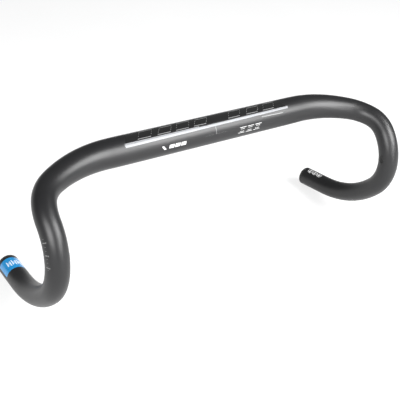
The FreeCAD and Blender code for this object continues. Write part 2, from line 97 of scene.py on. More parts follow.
class HandlebarSettings(bpy.types.PropertyGroup):
    """Sizes, colours and camera of the handlebar"""

    clamp_radius: length("Clamp radius", "Outside radius of the tube's middle", 0.0159)
    grip_radius: length("Grip radius", "Outside radius of the hooks and drops", 0.0119)
    wall: length("Wall", "Wall thickness beyond the butted middle", 0.0016)
    butt_wall: length("Butt wall", "Wall thickness of the middle", 0.0023)
    butt_start: length("Butt start", "Where the thick wall starts to thin", 0.060)
    straight_half: length("Straight half", "Half the straight top", 0.1265)
    bend_one_radius: length("First bend radius", "Gentle start of the bend", 0.132)
    bend_one_angle: turn("First bend angle", "Turn of the gentle start", 32.0)
    bend_two_radius: length("Second bend radius", "Tight part of the bend", 0.0505)
    bend_two_angle: turn("Second bend angle", "Turn of the tight part", 62.0)
    bend_hook_lap: length("Bend and hook lap", "How far hook and bend run together", 0.027)
    hook_one_radius: length("Hook radius one", "Top of the hook", 0.051)
    hook_one_angle: turn("Hook angle one", "Turn of the hook's top", 41.0)
    hook_two_radius: length("Hook radius two", "Front of the hook", 0.056)
    hook_two_angle: turn("Hook angle two", "Turn of the hook's front", 77.5)
    hook_three_radius: length("Hook radius three", "Lower sweep of the hook", 0.126)
    hook_three_angle: turn("Hook angle three", "Turn of the lower sweep", 42.5)
    grip_straight: length("Straight grip", "Straight end of each drop", 0.037)
    flare: turn("Flare", "Outward lean of the hook's front", 5.5)
    roll: turn("Roll", "How far the bar is turned forward in its clamp", 11.0)
    taper_start: length("Taper start", "Where the tube starts to slim", 0.110)
    taper_end: length("Taper end", "Where the tube reaches grip size", 0.250)
    port_width: length("Port width", "Across a cable port", 0.005)
    port_length: length("Port length", "Along a cable port", 0.008)
    lever_port_at: length("Lever port", "Distance of the port on the hook", 0.289)
    exit_port_at: length("Exit port", "Distance of the port by the clamp", 0.052)
    exit_port_turn: turn("Exit port turn", "Turn of the port by the clamp", -125.0)
    film_lift: length("Film lift", "How far a film stands off the metal", 0.00004)
    print_lift: length("Print lift", "How far ink stands off the metal", 0.00009)
    thread_pitch: length("Thread pitch", "Pitch of the plug's screw", 0.0008)
    round_steps: IntProperty(name="Steps round", description="Facets round the tube", default=96)
    grain: FloatProperty(name="Grain", description="Strength of surface texture", default=1.0)
    tube_colour: tint("Tube colour", "Satin finish of the tube", 0.011, 0.011, 0.0118)
    gloss_colour: tint("Gloss colour", "Lacquered band on the top", 0.014, 0.014, 0.014)
    # Painted highlight: the stripe colour is partly its ink and partly the highlight band along the
    # top, painted in as a light grey.
    stripe_and_highlight_colour: tint("Stripe colour", "Ink of the stripe", 0.30, 0.305, 0.32)
    print_colour: tint("Print colour", "Ink of the marks", 0.80, 0.80, 0.80)
    label_colour: tint("Label colour", "Lighter blue of the label", 0.012, 0.300, 0.640)
    label_depth: tint("Label depth", "Deeper blue of the label", 0.004, 0.165, 0.420)
    rubber_colour: tint("Rubber colour", "Port plugs and sleeves", 0.024, 0.024, 0.024)
    cap_colour: tint("Cap colour", "Moulded end caps", 0.026, 0.026, 0.026)
    floor_colour: tint("Floor colour", "Studio floor", 0.34, 0.34, 0.34)
    camera_place: FloatVectorProperty(
        name="Camera place",
        description="Where the camera stands",
        default=(-0.45899, -0.59516, 0.39587),
        subtype="TRANSLATION",
    )
    camera_turn: FloatVectorProperty(
        name="Camera turn",
        description="Camera rotation",
        default=tuple(math.radians(a) for a in (56.749, -5.394, -34.079)),
        subtype="EULER",
    )
    lens: FloatProperty(name="Lens", description="Focal length in millimetres", default=68.378)


def settings():
    return bpy.context.scene.handlebar


# ---------------------------------------------------------------- the tube's line
class Line:
    """The left half's centreline with a frame carried along it; the right half mirrors it."""

    STEP = 0.00025

    def __init__(self, s):
        bend_one = s.bend_one_radius * s.bend_one_angle
        bend_two = s.bend_two_radius * s.bend_two_angle
        one = s.straight_half + bend_one
        two = one + bend_two
        self.hook_start = two - s.bend_hook_lap
        hooks = (
            (s.hook_one_radius, s.hook_one_angle),
            (s.hook_two_radius, s.hook_two_angle),
            (s.hook_three_radius, s.hook_three_angle),
        )
        stops = [self.hook_start]
        turns = [0.0]
        for radius, angle in hooks:
            stops.append(stops[-1] + radius * angle)
            turns.append(turns[-1] + angle)
        self.grip_start = stops[-1]
        self.end = self.grip_start + s.grip_straight
        self.s = s
        count = int(round(self.end / self.STEP))
        self.at = np.linspace(0, self.end, count + 1)

        def tangent(at):
            hook = np.interp(at, stops, turns)
            head = np.interp(at, [s.straight_half, one, two], [0, s.bend_one_angle,
                                                             s.bend_one_angle + s.bend_two_angle])
            head = head - s.flare * np.sin(hook)
            flat = np.stack(
                [np.cos(head), -np.sin(head) * np.cos(hook), -np.sin(head) * np.sin(hook)], -1
            )
            c, d = math.cos(s.roll), math.sin(s.roll)
            return flat @ np.array([[1, 0, 0], [0, c, d], [0, -d, c]])

        middles = tangent((self.at[1:] + self.at[:-1]) / 2)
        steps = middles * np.diff(self.at)[:, None]
        self.points = np.vstack([np.zeros(3), np.cumsum(steps, 0)])
        self.tangents = tangent(self.at)
        ahead = np.zeros_like(self.points)
        current = np.array([0.0, -1.0, 0.0])
        for i, t in enumerate(self.tangents):
            current = current - t * current.dot(t)
            current /= np.linalg.norm(current)
            ahead[i] = current
        self.ahead = ahead
        self.up = np.cross(ahead, self.tangents)

    def radius(self, at):
        s = self.s
        x = np.clip((np.abs(at) - s.taper_start) / (s.taper_end - s.taper_start), 0, 1)
        x = x * x * (3 - 2 * x)
        return s.clamp_radius + (s.grip_radius - s.clamp_radius) * x

    def frame(self, at):
        """Point, tangent, ahead and up directions at signed distances (an array)."""
        at = np.atleast_1d(np.asarray(at, float))
        far = np.abs(at)
        found = []
        for field in (self.points, self.tangents, self.ahead, self.up):
            value = np.stack([np.interp(far, self.at, field[:, k]) for k in range(3)], -1)
            value[:, 0] = np.where(at < 0, -value[:, 0], value[:, 0])
            found.append(value)
        past = np.maximum(far - self.end, 0)[:, None]
        found[0] = found[0] + found[1] * past
        return found

    def surface(self, at, angle, lift=0.0, radius=None):
        """Points on the tube at (distance, turn) pairs, lifted off the metal."""
        at = np.atleast_1d(np.asarray(at, float))
        angle = np.atleast_1d(np.asarray(angle, float))
        point, _, ahead, up = self.frame(at)
        reach = (self.radius(at) if radius is None else radius) + lift
        normal = ahead * np.cos(angle)[:, None] + up * np.sin(angle)[:, None]
        return point + normal * np.atleast_1d(reach)[:, None]

    def facing(self, at, direction):
        """The turn about the tube that looks nearest to a direction."""
        _, _, ahead, up = (v[0] for v in self.frame(at))
        return math.atan2(up.dot(direction), ahead.dot(direction))

    def outward(self, at):
        """The turn that looks away from the bar's middle, square to the hook."""
        return self.facing(at, np.array([math.copysign(1.0, at), 0, 0]))


LINE = {}


def line():
    """The tube's line, worked out once from the settings as they are at the first call."""
    if "tube" not in LINE:
        LINE["tube"] = Line(settings())
    return LINE["tube"]


# ---------------------------------------------------------------- meshes
def mesh_object(name, points, faces, uvs=None, smooth=True, sharp=None):
    """An object from points and faces; uvs gives one (u, v) in metres per point."""
    mesh = bpy.data.meshes.new(name)
    mesh.from_pydata([tuple(p) for p in points], [], [tuple(f) for f in faces])
    if uvs is not None:
        layer = mesh.uv_layers.new(name="UVMap")
        index = np.zeros(len(mesh.loops), int)
        mesh.loops.foreach_get("vertex_index", index)
        layer.data.foreach_set("uv", np.asarray(uvs, np.float32)[index].ravel())
    mesh.validate()
    if smooth:
        mesh.shade_smooth()
    if sharp is not None:
        mesh.set_sharp_from_angle(angle=math.radians(sharp))
    obj = bpy.data.objects.new(name, mesh)
    bpy.context.scene.collection.objects.link(obj)
    return obj


def grid_faces(rows, cols, wrap=False):
    """Quads of a rows x cols grid of points, wrapped round its columns if asked."""
    faces = []
    across = cols if wrap else cols - 1
    for i in range(rows - 1):
        for j in range(across):
            k = (j + 1) % cols
            a = i * cols
            faces.append((a + j, a + k, a + cols + k, a + cols + j))
    return faces


def finish_piece(obj, material, slot, body, *nodes):
    """Paints a piece, hides the CAD parts it replaces and hangs it on the body it rides on."""
    obj.data.materials.clear()
    obj.data.materials.append(material)
    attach(obj, body)
    if nodes:
        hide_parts(*nodes)
    return obj


def stations(start, stop, pitch):
    return np.linspace(start, stop, max(2, int(math.ceil(abs(stop - start) / pitch)) + 1))


class Decal:
    """Thin printed shapes on the tube, gathered into one mesh."""

    PITCH = 0.0012  # size of a facet, stretched along the tube and slimmer round it
    ALONG = 2.5
    ROUND = 0.8
    THICKNESS = 0.75  # share of the lift that the film fills

    def __init__(self, name, lift):
        self.name = name
        self.lift = lift
        self.points = []
        self.faces = []
        self.uvs = []

    def patch(self, corners, centre=None):
        """A four-cornered patch. Corners are (distance, arc) with arc in metres round the
        tube from a centre (distance, turn); without a centre, arc is a turn in radians."""
        c = np.array(corners, float)
        long_side = max(np.ptp(c[:, 0]), 1e-4)
        wide = np.ptp(c[:, 1]) * (1.0 if centre else ARC_SCALE)
        n = max(2, int(long_side / (self.PITCH * self.ALONG)) + 2)
        m = max(2, int(wide / (self.PITCH * self.ROUND)) + 2)
        u, v = np.meshgrid(np.linspace(0, 1, n), np.linspace(0, 1, m), indexing="ij")
        u, v = u.ravel()[:, None], v.ravel()[:, None]
        flat = c[0] * (1 - u) * (1 - v) + c[1] * u * (1 - v) + c[2] * u * v + c[3] * (1 - u) * v
        self.add(flat, grid_faces(n, m), centre)

    def outline(self, corners, width, centre=None):
        """The border of a four-cornered shape, as four slim patches."""
        c = np.array(corners, float)
        middle = c.mean(0)
        scale = np.array([1.0, 1.0 if centre else 1 / ARC_SCALE])
        size = np.ptp(c / scale, axis=0)
        shrink = 1 - 2 * width / np.maximum(size, 1e-5)
        inner = middle + (c - middle) * np.clip(shrink, 0.1, 1)
        for k in range(4):
            n = (k + 1) % 4
            self.patch([c[k], c[n], inner[n], inner[k]], centre)

    def ring(self, at, arc, radius, width, centre, squash=1.0, steps=40):
        """A round outline."""
        angles = np.linspace(0, 2 * math.pi, steps)
        outer = np.stack([at + radius * np.cos(angles), arc + radius * squash * np.sin(angles)], -1)
        hole = radius - width
        inner = np.stack([at + hole * np.cos(angles), arc + hole * squash * np.sin(angles)], -1)
        flat = np.stack([outer, inner], 1).reshape(-1, 2)
        self.add(flat, grid_faces(steps, 2), centre)

    def add(self, flat, faces, centre):
        at = flat[:, 0]
        angle = flat[:, 1]
        if centre:
            at = at + centre[0]
            angle = centre[1] + flat[:, 1] / line().radius(at)
        start = sum(len(p) for p in self.points)
        self.points.append(line().surface(at, angle, self.lift))
        self.faces += [tuple(i + start for i in f) for f in faces]
        self.uvs.append(np.stack([at, angle * line().radius(at)], -1))

    def build(self):
        obj = mesh_object(self.name, np.vstack(self.points), self.faces, np.vstack(self.uvs))
        face_out(obj)
        film = obj.modifiers.new("film", "SOLIDIFY")
        film.thickness = self.lift * self.THICKNESS
        film.offset = -1.0
        apply_modifiers(obj)
        obj.data.set_sharp_from_angle(angle=math.radians(SKIN_EDGE))
        return obj


def apply_modifiers(obj):
    """Gives the object the mesh that its modifiers make."""
    bpy.context.view_layer.update()
    graph = bpy.context.evaluated_depsgraph_get()
    made = bpy.data.meshes.new_from_object(obj.evaluated_get(graph))
    obj.modifiers.clear()
    obj.data = made


def outwards(obj):
    """Makes a closed skin's faces look out of its material."""
    mesh = bmesh.new()
    mesh.from_mesh(obj.data)
    bmesh.ops.recalc_face_normals(mesh, faces=mesh.faces)
    mesh.to_mesh(obj.data)
    mesh.free()


def face_out(obj):
    """Turns every face to look away from the tube's line."""
    mesh = obj.data
    tube = line()
    reach = np.vstack([tube.points, tube.points * np.array([-1, 1, 1])])[::4]
    flips = []
    for polygon in mesh.polygons:
        centre = np.array(polygon.center)
        near = reach[((reach - centre) ** 2).sum(1).argmin()]
        if np.dot(np.array(polygon.normal), centre - near) < 0:
            flips.append(polygon.index)
    for index in flips:
        mesh.polygons[index].flip()
    mesh.update()


def lathe(name, profile, place, steps=96, arc=None):
    """A turned piece. profile is a closed list of (radius, height); a radius may be a
    function of the angle. place is the matrix of its axis frame. arc leaves a slit."""
    full = arc is None
    angles = np.linspace(0, 2 * math.pi, steps, endpoint=False)
    if not full:
        angles = np.linspace(arc[0], arc[1], steps)
    points = []
    uvs = []
    run = 0.0
    last = None
    for radius, height in profile:
        values = np.array([radius(a) if callable(radius) else radius for a in angles])
        step = 0.0 if last is None else math.hypot(values[0] - last[0], height - last[1])
        run += step
        last = (values[0], height)
        for a, r in zip(angles, values):
            points.append(place @ Vector((r * math.cos(a), r * math.sin(a), height)))
            uvs.append((a * max(r, 1e-4), run))
    rows = len(profile)
    faces = grid_faces(rows, steps, wrap=full)
    top = (rows - 1) * steps
    across = steps if full else steps - 1
    faces += [(top + j, top + (j + 1) % steps, (j + 1) % steps, j) for j in range(across)]
    if not full:
        faces.append(tuple(i * steps for i in range(rows)))
        faces.append(tuple(i * steps + steps - 1 for i in reversed(range(rows))))
    faces = [tuple(dict.fromkeys(f)) for f in faces]
    return mesh_object(name, points, faces, uvs, sharp=LATHE_EDGE)


def rounded(radius, height, size, turn_from, turn_to, steps=6):
    """Profile points of a rounded corner about (radius, height)."""
    found = []
    for k in range(steps + 1):
        a = math.radians(turn_from + (turn_to - turn_from) * k / steps)
        found.append((radius + size * math.cos(a), height + size * math.sin(a)))
    return found


def end_place(sign):
    """The axis frame of a drop's end: origin on the end face, Z outwards."""
    point, tangent, ahead, _ = (v[0] for v in line().frame(sign * line().end))
    z = Vector(tangent).normalized()
    x = Vector(ahead)
    x = (x - z * x.dot(z)).normalized()
    y = z.cross(x)
    return Matrix(
        ((x.x, y.x, z.x, point[0]), (x.y, y.y, z.y, point[1]), (x.z, y.z, z.z, point[2]),
         (0, 0, 0, 1))
    )


# ---------------------------------------------------------------- shader maths
class Socket:
    """A node output that takes ordinary arithmetic."""

    def __init__(self, paint, socket):
        self.paint = paint
        self.socket = socket

    def maths(self, operation, *others):
        node = self.paint.add("ShaderNodeMath", {"operation": operation}, {})
        for index, value in enumerate((self, *others)):
            self.paint.feed(node.inputs[index], value)
        return Socket(self.paint, node.outputs[0])

    def __add__(self, other):
        return self.maths("ADD", other)

    def __radd__(self, other):
        return self.maths("ADD", other)

    def __sub__(self, other):
        return self.maths("SUBTRACT", other)

    def __rsub__(self, other):
        return (self * -1.0) + other

    def __mul__(self, other):
        return self.maths("MULTIPLY", other)

    def __rmul__(self, other):
        return self.maths("MULTIPLY", other)

    def sine(self):
        return self.maths("SINE")

    def above(self, other):
        return self.maths("GREATER_THAN", other)

    def below(self, other):
        return self.maths("LESS_THAN", other)

    def eased(self, low, high):
        """0 below low, 1 above high, smooth between."""
        node = self.paint.add(
            "ShaderNodeMapRange",
            {"interpolation_type": "SMOOTHSTEP"},
            {"Value": self, "From Min": low, "From Max": high, "To Min": 0.0, "To Max": 1.0},
        )
        return Socket(self.paint, node.outputs["Result"])


class Paint:
    """A node material written as sums on sockets."""

    def __init__(self, name):
        self.material = bpy.data.materials.new(name)
        self.material.use_nodes = True
        self.tree = self.material.node_tree
        self.shader = next(n for n in self.tree.nodes if n.type == "BSDF_PRINCIPLED")

    def feed(self, target, value):
        if isinstance(value, Socket):
            self.tree.links.new(value.socket, target)
        elif value is not None:
            target.default_value = value

    def add(self, kind, options, inputs):
        node = self.tree.nodes.new(kind)
        for key, value in options.items():
            setattr(node, key, value)
        for key, value in inputs.items():
            self.feed(node.inputs[key], value)
        return node

    def place(self, kind="UV"):
        return Socket(self, self.add("ShaderNodeTexCoord", {}, {}).outputs[kind])

    def split(self, vector):
        node = self.add("ShaderNodeSeparateXYZ", {}, {"Vector": vector})
        return [Socket(self, node.outputs[k]) for k in range(3)]

    def join(self, x, y):
        node = self.add("ShaderNodeCombineXYZ", {}, {"X": x, "Y": y})
        return Socket(self, node.outputs[0])

    def stretch(self, vector, scale):
        node = self.add("ShaderNodeVectorMath", {"operation": "MULTIPLY"}, {0: vector, 1: scale})
        return Socket(self, node.outputs[0])

    def noise(self, vector, scale, detail=4.0, rough=0.55):
        node = self.add(
            "ShaderNodeTexNoise",
            {},
            {"Vector": vector, "Scale": scale, "Detail": detail, "Roughness": rough},
        )
        return Socket(self, node.outputs["Fac"])

    def cells(self, vector, scale):
        node = self.add(
            "ShaderNodeTexVoronoi", {"feature": "F1"}, {"Vector": vector, "Scale": scale}
        )
        return Socket(self, node.outputs["Distance"])

    def blend(self, share, low, high):
        node = self.add("ShaderNodeMix", {"data_type": "RGBA"}, {"Factor": share})
        self.feed(node.inputs[6], low)
        self.feed(node.inputs[7], high)
        return Socket(self, node.outputs[2])

    def bump(self, height, distance, strength=1.0):
        node = self.add(
            "ShaderNodeBump", {}, {"Height": height, "Distance": distance, "Strength": strength}
        )
        return Socket(self, node.outputs["Normal"])

    def finish(self, **inputs):
        for key, value in inputs.items():
            self.feed(self.shader.inputs[key.replace("_", " ")], value)
        return self.material


def grey(value, tint=0.0):
    return (value, value, value + tint, 1.0)


def colour(r, g, b):
    return (r, g, b, 1.0)


def shade(tone, share):
    """A tint from the settings, darkened to a share of itself."""
    return (tone[0] * share, tone[1] * share, tone[2] * share, 1.0)


def paint_tube():
    """Satin black anodised tube: fine blasted grain, drawing lines and faint handling marks."""
    p = Paint("tube_satin_black")
    s = settings()
    uv = p.place("UV")
    solid = p.place("Object")
    grain = p.noise(solid, 2600.0, 3.0, 0.6)
    peel = p.noise(solid, 420.0, 2.0, 0.5)
    cloud = p.noise(solid, 22.0, 5.0, 0.6)
    wipe = p.noise(p.stretch(uv, (26.0, 240.0, 1.0)), 1.0, 4.0, 0.6)
    specks = p.cells(solid, 900.0).below(0.05) * cloud.above(0.56)
    base = p.blend(cloud, shade(s.tube_colour, 0.55), shade(s.tube_colour, 1.0))
    base = p.blend(specks * 0.5, base, grey(0.06))
    rough = cloud * 0.08 + wipe * 0.07 + grain * 0.05 + 0.29
    height = grain * 0.6 + peel * 0.4
    return p.finish(
        Base_Color=base,
        Roughness=rough,
        Metallic=0.0,
        IOR=1.46,
        Normal=p.bump(height, 0.00004 * s.grain, 0.5),
    )


def paint_bore():
    """Bare drawn aluminium inside the tube."""
    p = Paint("tube_bore_bare")
    uv = p.place("UV")
    drawn = p.noise(p.stretch(uv, (12.0, 900.0, 1.0)), 1.0, 4.0, 0.6)
    cloud = p.noise(p.place("Object"), 60.0, 3.0)
    return p.finish(
        Base_Color=p.blend(cloud, grey(0.30, 0.01), grey(0.42, 0.01)),
        Roughness=drawn * 0.25 + 0.32,
        Metallic=1.0,
        Normal=p.bump(drawn, 0.00005, 0.6),
    )


def paint_rubber(name, low, high, rough=0.72, scale=1500.0, depth=0.00008):
    """Moulded rubber: soft mottling, fine pores and a bloom that dulls it in patches.
    low and high are shares of the rubber colour."""
    p = Paint(name)
    solid = p.place("Object")
    pores = p.noise(solid, scale, 4.0, 0.65)
    bloom = p.noise(solid, 160.0, 4.0, 0.6)
    tone = settings().rubber_colour
    pits = p.cells(solid, scale * 0.6).eased(0.05, 0.35)
    return p.finish(
        Base_Color=p.blend(bloom, shade(tone, low), shade(tone, high)),
        Roughness=bloom * 0.14 + pores * 0.08 + rough,
        Normal=p.bump(pores * 0.6 + pits * 0.4, depth, 0.6),
    )


def paint_plastic():
    """Moulded nylon cap: spark-eroded grain and a slight sheen on the worn high spots."""
    p = Paint("cap_nylon")
    solid = p.place("Object")
    grit = p.noise(solid, 1900.0, 4.0, 0.7)
    worn = p.noise(solid, 90.0, 4.0, 0.6)
    tone = settings().cap_colour
    return p.finish(
        Base_Color=p.blend(worn, shade(tone, 0.46), shade(tone, 1.0)),
        Roughness=0.62 - worn * 0.16 + grit * 0.10,
        Normal=p.bump(grit, 0.00009, 0.7),
    )


def paint_steel():
    """Dark zinc screw steel with turning marks round its axis."""
    p = Paint("screw_zinc")
    solid = p.place("Object")
    uv = p.split(p.place("UV"))
    rings = p.noise(p.join(uv[1] * 9000.0, uv[0] * 60.0), 1.0, 3.0, 0.5)
    stain = p.noise(solid, 320.0, 4.0, 0.6)
    return p.finish(
        Base_Color=p.blend(stain, colour(0.20, 0.20, 0.21), colour(0.36, 0.35, 0.33)),
        Roughness=rings * 0.18 + stain * 0.12 + 0.22,
        Metallic=1.0,
        Normal=p.bump(rings, 0.00003, 0.5),
    )


def paint_turned():
    """Plain turned aluminium of the wedge nut: tool rings and smudges."""
    p = Paint("wedge_turned")
    uv = p.split(p.place("UV"))
    rings = (uv[1] * 21000.0).sine() * 0.5 + 0.5
    smudge = p.noise(p.place("Object"), 240.0, 4.0, 0.6)
    return p.finish(
        Base_Color=p.blend(smudge, grey(0.50, 0.01), grey(0.68, 0.01)),
        Roughness=smudge * 0.20 + rings * 0.08 + 0.20,
        Metallic=1.0,
        Normal=p.bump(rings, 0.00003, 0.7),
    )


def paint_gloss():
    """Gloss black print: glassy lacquer with a woven ghost of the ink screen."""
    p = Paint("gloss_print_black")
    uv = p.split(p.place("UV"))
    solid = p.place("Object")
    weave = ((uv[0] * 9000.0).sine() * (uv[1] * 9000.0).sine()) * 0.5 + 0.5
    orange = p.noise(solid, 260.0, 3.0, 0.5)
    dust = p.noise(solid, 40.0, 5.0, 0.65)
    tone = settings().gloss_colour
    return p.finish(
        Base_Color=p.blend(weave * 0.4, shade(tone, 0.43), shade(tone, 1.0)),
        Roughness=dust * 0.10 + orange * 0.05 + 0.17,
        Coat_Weight=dust * 0.3 + 0.2,
        Coat_Roughness=0.08,
        Normal=p.bump(orange, 0.00003, 0.4),
    )


def paint_stripe_and_highlight():
    """Silver-grey stripe: metallic ink ruled with fine slanted hatching. Its light grey is partly
    painted highlight, standing for the highlight band that runs along the top.
    """
    p = Paint("stripe_silver_and_painted_highlight")
    uv = p.split(p.place("UV"))
    solid = p.place("Object")
    hatch = (uv[0] * 5200.0 + uv[1] * 5200.0).sine() * 0.5 + 0.5
    flake = p.noise(solid, 3000.0, 3.0, 0.7)
    fade = p.noise(p.stretch(p.place("UV"), (18.0, 60.0, 1.0)), 1.0, 3.0)
    share = hatch * 0.35 + flake * 0.25 + fade * 0.4
    # Painted highlight: this light grey tone brightens the stripe to stand for the highlight band
    # along the top, over its ink colour.
    tone = settings().stripe_and_highlight_colour
    return p.finish(
        Base_Color=p.blend(share, shade(tone, 0.44), shade(tone, 1.0)),
        Roughness=flake * 0.14 + 0.34,
        Metallic=0.15,
        Normal=p.bump(hatch, 0.00002, 0.5),
    )


def paint_ink(name, low, high, wear=0.10):
    """Opaque printed ink with pinholes and slightly uneven cover."""
    p = Paint(name)
    solid = p.place("Object")
    cover = p.noise(solid, 1400.0, 4.0, 0.7)
    patch = p.noise(solid, 180.0, 4.0, 0.6)
    holes = p.cells(solid, 1600.0).below(wear)
    share = cover * 0.5 + patch * 0.5
    base = p.blend(share, low, high)
    base = p.blend(holes * 0.7, base, grey(0.03))
    return p.finish(
        Base_Color=base,
        Roughness=patch * 0.12 + cover * 0.08 + 0.30,
        Normal=p.bump(cover, 0.00002, 0.5),
    )


def paint_label():
    """Glossy blue film: a soft fade towards its ends, dot screen and tiny air bubbles."""
    p = Paint("label_blue")
    uv = p.split(p.place("UV"))
    solid = p.place("Object")
    dots = (uv[0] * 11000.0).sine() * (uv[1] * 11000.0).sine()
    fade = p.noise(p.stretch(p.place("UV"), (70.0, 90.0, 1.0)), 1.0, 3.0)
    bubbles = p.cells(solid, 420.0).eased(0.10, 0.22)
    share = fade * 0.7 + dots * 0.08 + 0.1
    s = settings()
    return p.finish(
        Base_Color=p.blend(share, shade(s.label_depth, 1.0), shade(s.label_colour, 1.0)),
        Roughness=fade * 0.12 + 0.22,
        Coat_Weight=0.4,
        Coat_Roughness=0.10,
        Normal=p.bump(bubbles, 0.00004, 0.4),
    )


def paint_floor():
    """Plain pale studio floor with the faintest mottling."""
    p = Paint("studio_floor")
    solid = p.place("Object")
    mottle = p.noise(solid, 3.0, 4.0, 0.6)
    tooth = p.noise(solid, 500.0, 3.0, 0.6)
    tone = settings().floor_colour
    return p.finish(
        Base_Color=p.blend(mottle, shade(tone, 0.88), shade(tone, 1.0)),
        Roughness=mottle * 0.1 + tooth * 0.05 + 0.75,
        Emission_Color=(1.0, 1.0, 1.0, 1.0),
        Emission_Strength=0.68,
        Normal=p.bump(tooth, 0.0001, 0.3),
    )


# ---------------------------------------------------------------- operators
def port_places(s, tube):
    """(name, distance, turn) of every cable port."""
    found = []
    for side, sign in SIDES:
        at = sign * s.lever_port_at
        found.append(("lever_port_plug_" + side, at, tube.outward(at) + math.pi))
        found.append(("exit_port_plug_" + side, sign * s.exit_port_at, s.exit_port_turn))
    return found


def stadium(s, share, steps=56):
    """Outline of a port scaled by share: (along, across) in metres."""
    radius = s.port_width / 2
    half = (s.port_length - s.port_width) / 2
    points = []
    for k in range(steps):
        a = 2 * math.pi * k / steps
        shift = half if math.cos(a) >= 0 else -half
        points.append(((shift + radius * math.cos(a)) * share, radius * math.sin(a) * share))
    return np.array(points)


def port_cutter(s, tube, at, angle):
    """A solid oval bar through the wall, used to open a port."""
    flat = stadium(s, 1.0)
    rows = []
    inside, outside = -0.005, 0.004
    for lift in (inside, outside):
        along = np.full(len(flat), at) + flat[:, 0] * (1 if at >= 0 else -1)
        turns = angle + flat[:, 1] / tube.radius(at)
        rows.append(tube.surface(along, turns, lift))
    count = len(flat)
    faces = grid_faces(2, count, wrap=True)
    faces.append(tuple(range(count)))
    faces.append(tuple(reversed(range(count, 2 * count))))
    return mesh_object("port_cutter", np.vstack(rows), faces, smooth=False)


class HANDLEBAR_OT_tube(bpy.types.Operator):
    """Sweeps the bent tube, hollow, with its cable ports cut through the wall"""

    bl_idname = "handlebar.tube"
    bl_label = "Bar tube"

    def execute(self, context):
        s = settings()
        tube = line()
        chamfer = 0.00035
        straight_pitch, bend_pitch, grip_pitch = 0.006, 0.0016, 0.004
        half = np.concatenate([
            stations(0.0, s.straight_half, straight_pitch),
            stations(s.straight_half, tube.grip_start, bend_pitch)[1:],
            stations(tube.grip_start, tube.end - chamfer, grip_pitch)[1:],
        ])
        outer = [(at, float(tube.radius(at))) for at in np.concatenate([-half[::-1], half[1:]])]
        grip = s.grip_radius
        bore = grip - s.wall
        first = [(-tube.end, bore + chamfer), (-tube.end, grip - chamfer)]
        last = [(tube.end, grip - chamfer), (tube.end, bore + chamfer)]
        walls = np.interp(half, (s.butt_start, s.taper_start), (s.butt_wall, s.wall))
        inside = [(at, float(tube.radius(at)) - wall) for at, wall in zip(half, walls)][::2]
        inner = inside[::-1] + [(-at, r) for at, r in inside[1:]]
        profile = first + outer + last + inner
        steps = s.round_steps
        angles = np.linspace(0, 2 * math.pi, steps, endpoint=False)
        at = np.repeat([a for a, _ in profile], steps)
        reach = np.repeat([r for _, r in profile], steps)
        turns = np.tile(angles, len(profile))
        points = tube.surface(at, turns, 0.0, radius=reach)
        rows = len(profile)
        faces = grid_faces(rows, steps, wrap=True)
        top = (rows - 1) * steps
        faces += [(top + j, top + (j + 1) % steps, (j + 1) % steps, j) for j in range(steps)]
        uvs = np.stack([at, turns * ARC_SCALE], -1)
        obj = mesh_object("tube", points, faces, uvs)
        bore_rows = set(range(len(first) + len(outer) + len(last), rows))
        obj.data.materials.append(paint_tube())
        obj.data.materials.append(paint_bore())
        for polygon in obj.data.polygons:
            rings = {v // steps for v in polygon.vertices}
            polygon.material_index = 1 if rings <= bore_rows else 0
        outwards(obj)
        self.open_ports(obj, s, tube)
        obj.data.set_sharp_from_angle(angle=math.radians(SKIN_EDGE))
        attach(obj, "bar")
        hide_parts("bar_tube")
        return {"FINISHED"}

    def open_ports(self, obj, s, tube):
        for _, at, angle in port_places(s, tube):
            cutter = port_cutter(s, tube, at, angle)
            outwards(cutter)
            cut = obj.modifiers.new("port", "BOOLEAN")
            cut.operation = "DIFFERENCE"
            cut.solver = "EXACT"
            cut.object = cutter
            apply_modifiers(obj)
            bpy.data.objects.remove(cutter)


class HANDLEBAR_OT_port_plugs(bpy.types.Operator):
    """Dished rubber plugs that close the cable ports"""

    bl_idname = "handlebar.port_plugs"
    bl_label = "Port plugs"

    # (share of the port's outline, height off the tube in millimetres)
    PROFILE = ((0.0, -0.55), (0.45, -0.55), (0.62, -0.50), (0.74, -0.30), (0.80, 0.05),
               (0.88, 0.24), (1.02, 0.30), (1.22, 0.27), (1.34, 0.17), (1.38, 0.03),
               (1.34, 0.01), (0.97, 0.01), (0.95, -1.35), (0.80, -1.45))

    SMALLEST = 0.02

    def execute(self, context):
        s = settings()
        tube = line()
        rubber = paint_rubber("port_rubber", 0.25, 0.67)
        for name, at, angle in port_places(s, tube):
            points = []
            rings = [stadium(s, max(share, self.SMALLEST)) for share, _ in self.PROFILE]
            count = len(rings[0])
            for flat, (_, height) in zip(rings, self.PROFILE):
                along = at + flat[:, 0]
                turns = angle + flat[:, 1] / tube.radius(at)
                points.append(tube.surface(along, turns, height * MILLIMETRE))
            faces = grid_faces(len(self.PROFILE), count, wrap=True)
            faces.append(tuple(range(count)))
            last = (len(self.PROFILE) - 1) * count
            faces.append(tuple(reversed(range(last, last + count))))
            obj = mesh_object(name + "_rubber", np.vstack(points), faces, np.vstack(rings))
            outwards(obj)
            finish_piece(obj, rubber, "port_rubber", "bar", name)
        return {"FINISHED"}


